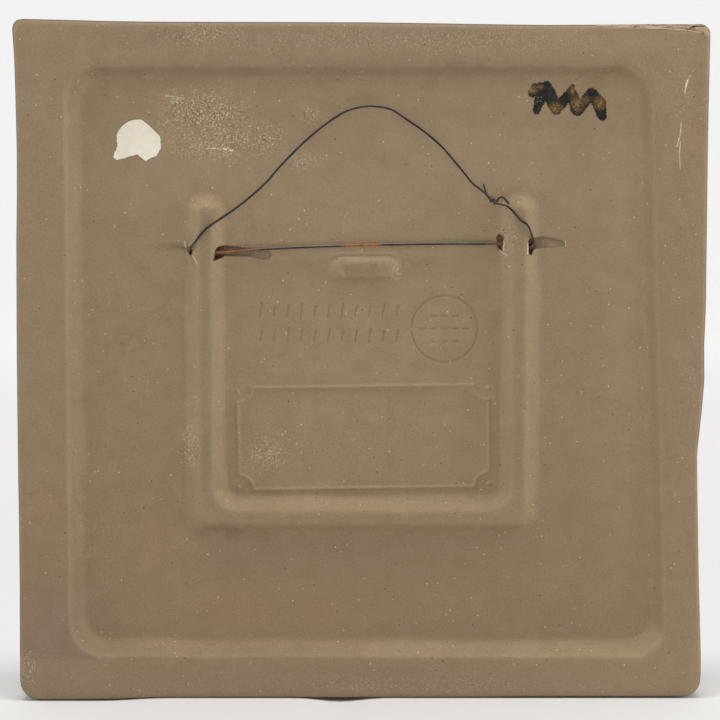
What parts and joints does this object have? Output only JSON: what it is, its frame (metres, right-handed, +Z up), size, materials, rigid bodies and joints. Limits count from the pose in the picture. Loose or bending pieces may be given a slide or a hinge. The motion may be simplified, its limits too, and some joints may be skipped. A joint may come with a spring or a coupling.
{
  "type": "decorative wall plaque",
  "caption": "Square unglazed stoneware wall plaque with a shallow recess and a U-shaped ridge in its back, hung by a formed iron wire.",
  "frame": {"origin": "on the wall plane, on the slab's upright middle line, under the crown of the hanging wire, where the nail goes", "axes": "+Z up as the plaque hangs, +Y out of the wall through the front, +X to the right when the back is looked at"},
  "size_m": [0.3024, 0.02, 0.2998],
  "materials": {
    "stoneware": "matte",
    "iron_wire": "satin",
    "paper": "matte"
  },
  "bodies": {
    "root": {"stoneware_slab": "stoneware", "hanging_wire": "iron_wire", "paper_sticker": "paper"}
  },
  "joints": []
}
